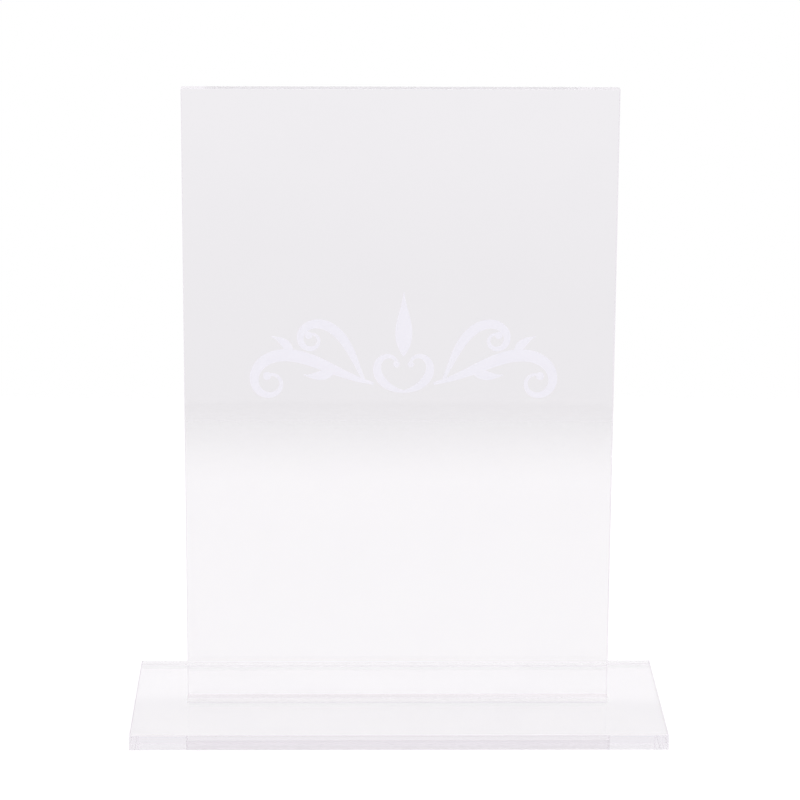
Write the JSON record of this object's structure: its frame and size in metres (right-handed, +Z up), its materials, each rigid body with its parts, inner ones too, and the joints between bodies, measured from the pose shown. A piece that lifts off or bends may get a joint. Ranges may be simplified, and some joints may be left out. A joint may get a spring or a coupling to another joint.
{
  "type": "table sign stand",
  "caption": "Clear upright panel that drops into a slot in a wide clear base plate, with a white scrollwork ornament on its front face.",
  "frame": {"origin": "middle of the underside of the base plate, on the table", "axes": "+Z up along the panel, front of the panel faces -Y, +X to the right seen from the front"},
  "size_m": [0.19, 0.078, 0.2286],
  "materials": {
    "base_sheet": "clear polished acrylic sheet, very faint cool tint, edges a little softer than the faces",
    "panel_sheet": "clear polished acrylic sheet, very faint lavender tint",
    "white_film": "white cut vinyl film, satin"
  },
  "bodies": {
    "stand_base": {"base_plate": "base_sheet"},
    "sign_panel": {"display_panel": "panel_sheet", "scroll_left": "white_film", "scroll_right": "white_film", "centre_loop": "white_film", "centre_drop": "white_film"}
  },
  "joints": [
    {"name": "panel_lift", "type": "slide", "parent": "stand_base", "child": "sign_panel", "axis": [0, 0, 1], "range_m": [0, 0.03]}
  ]
}
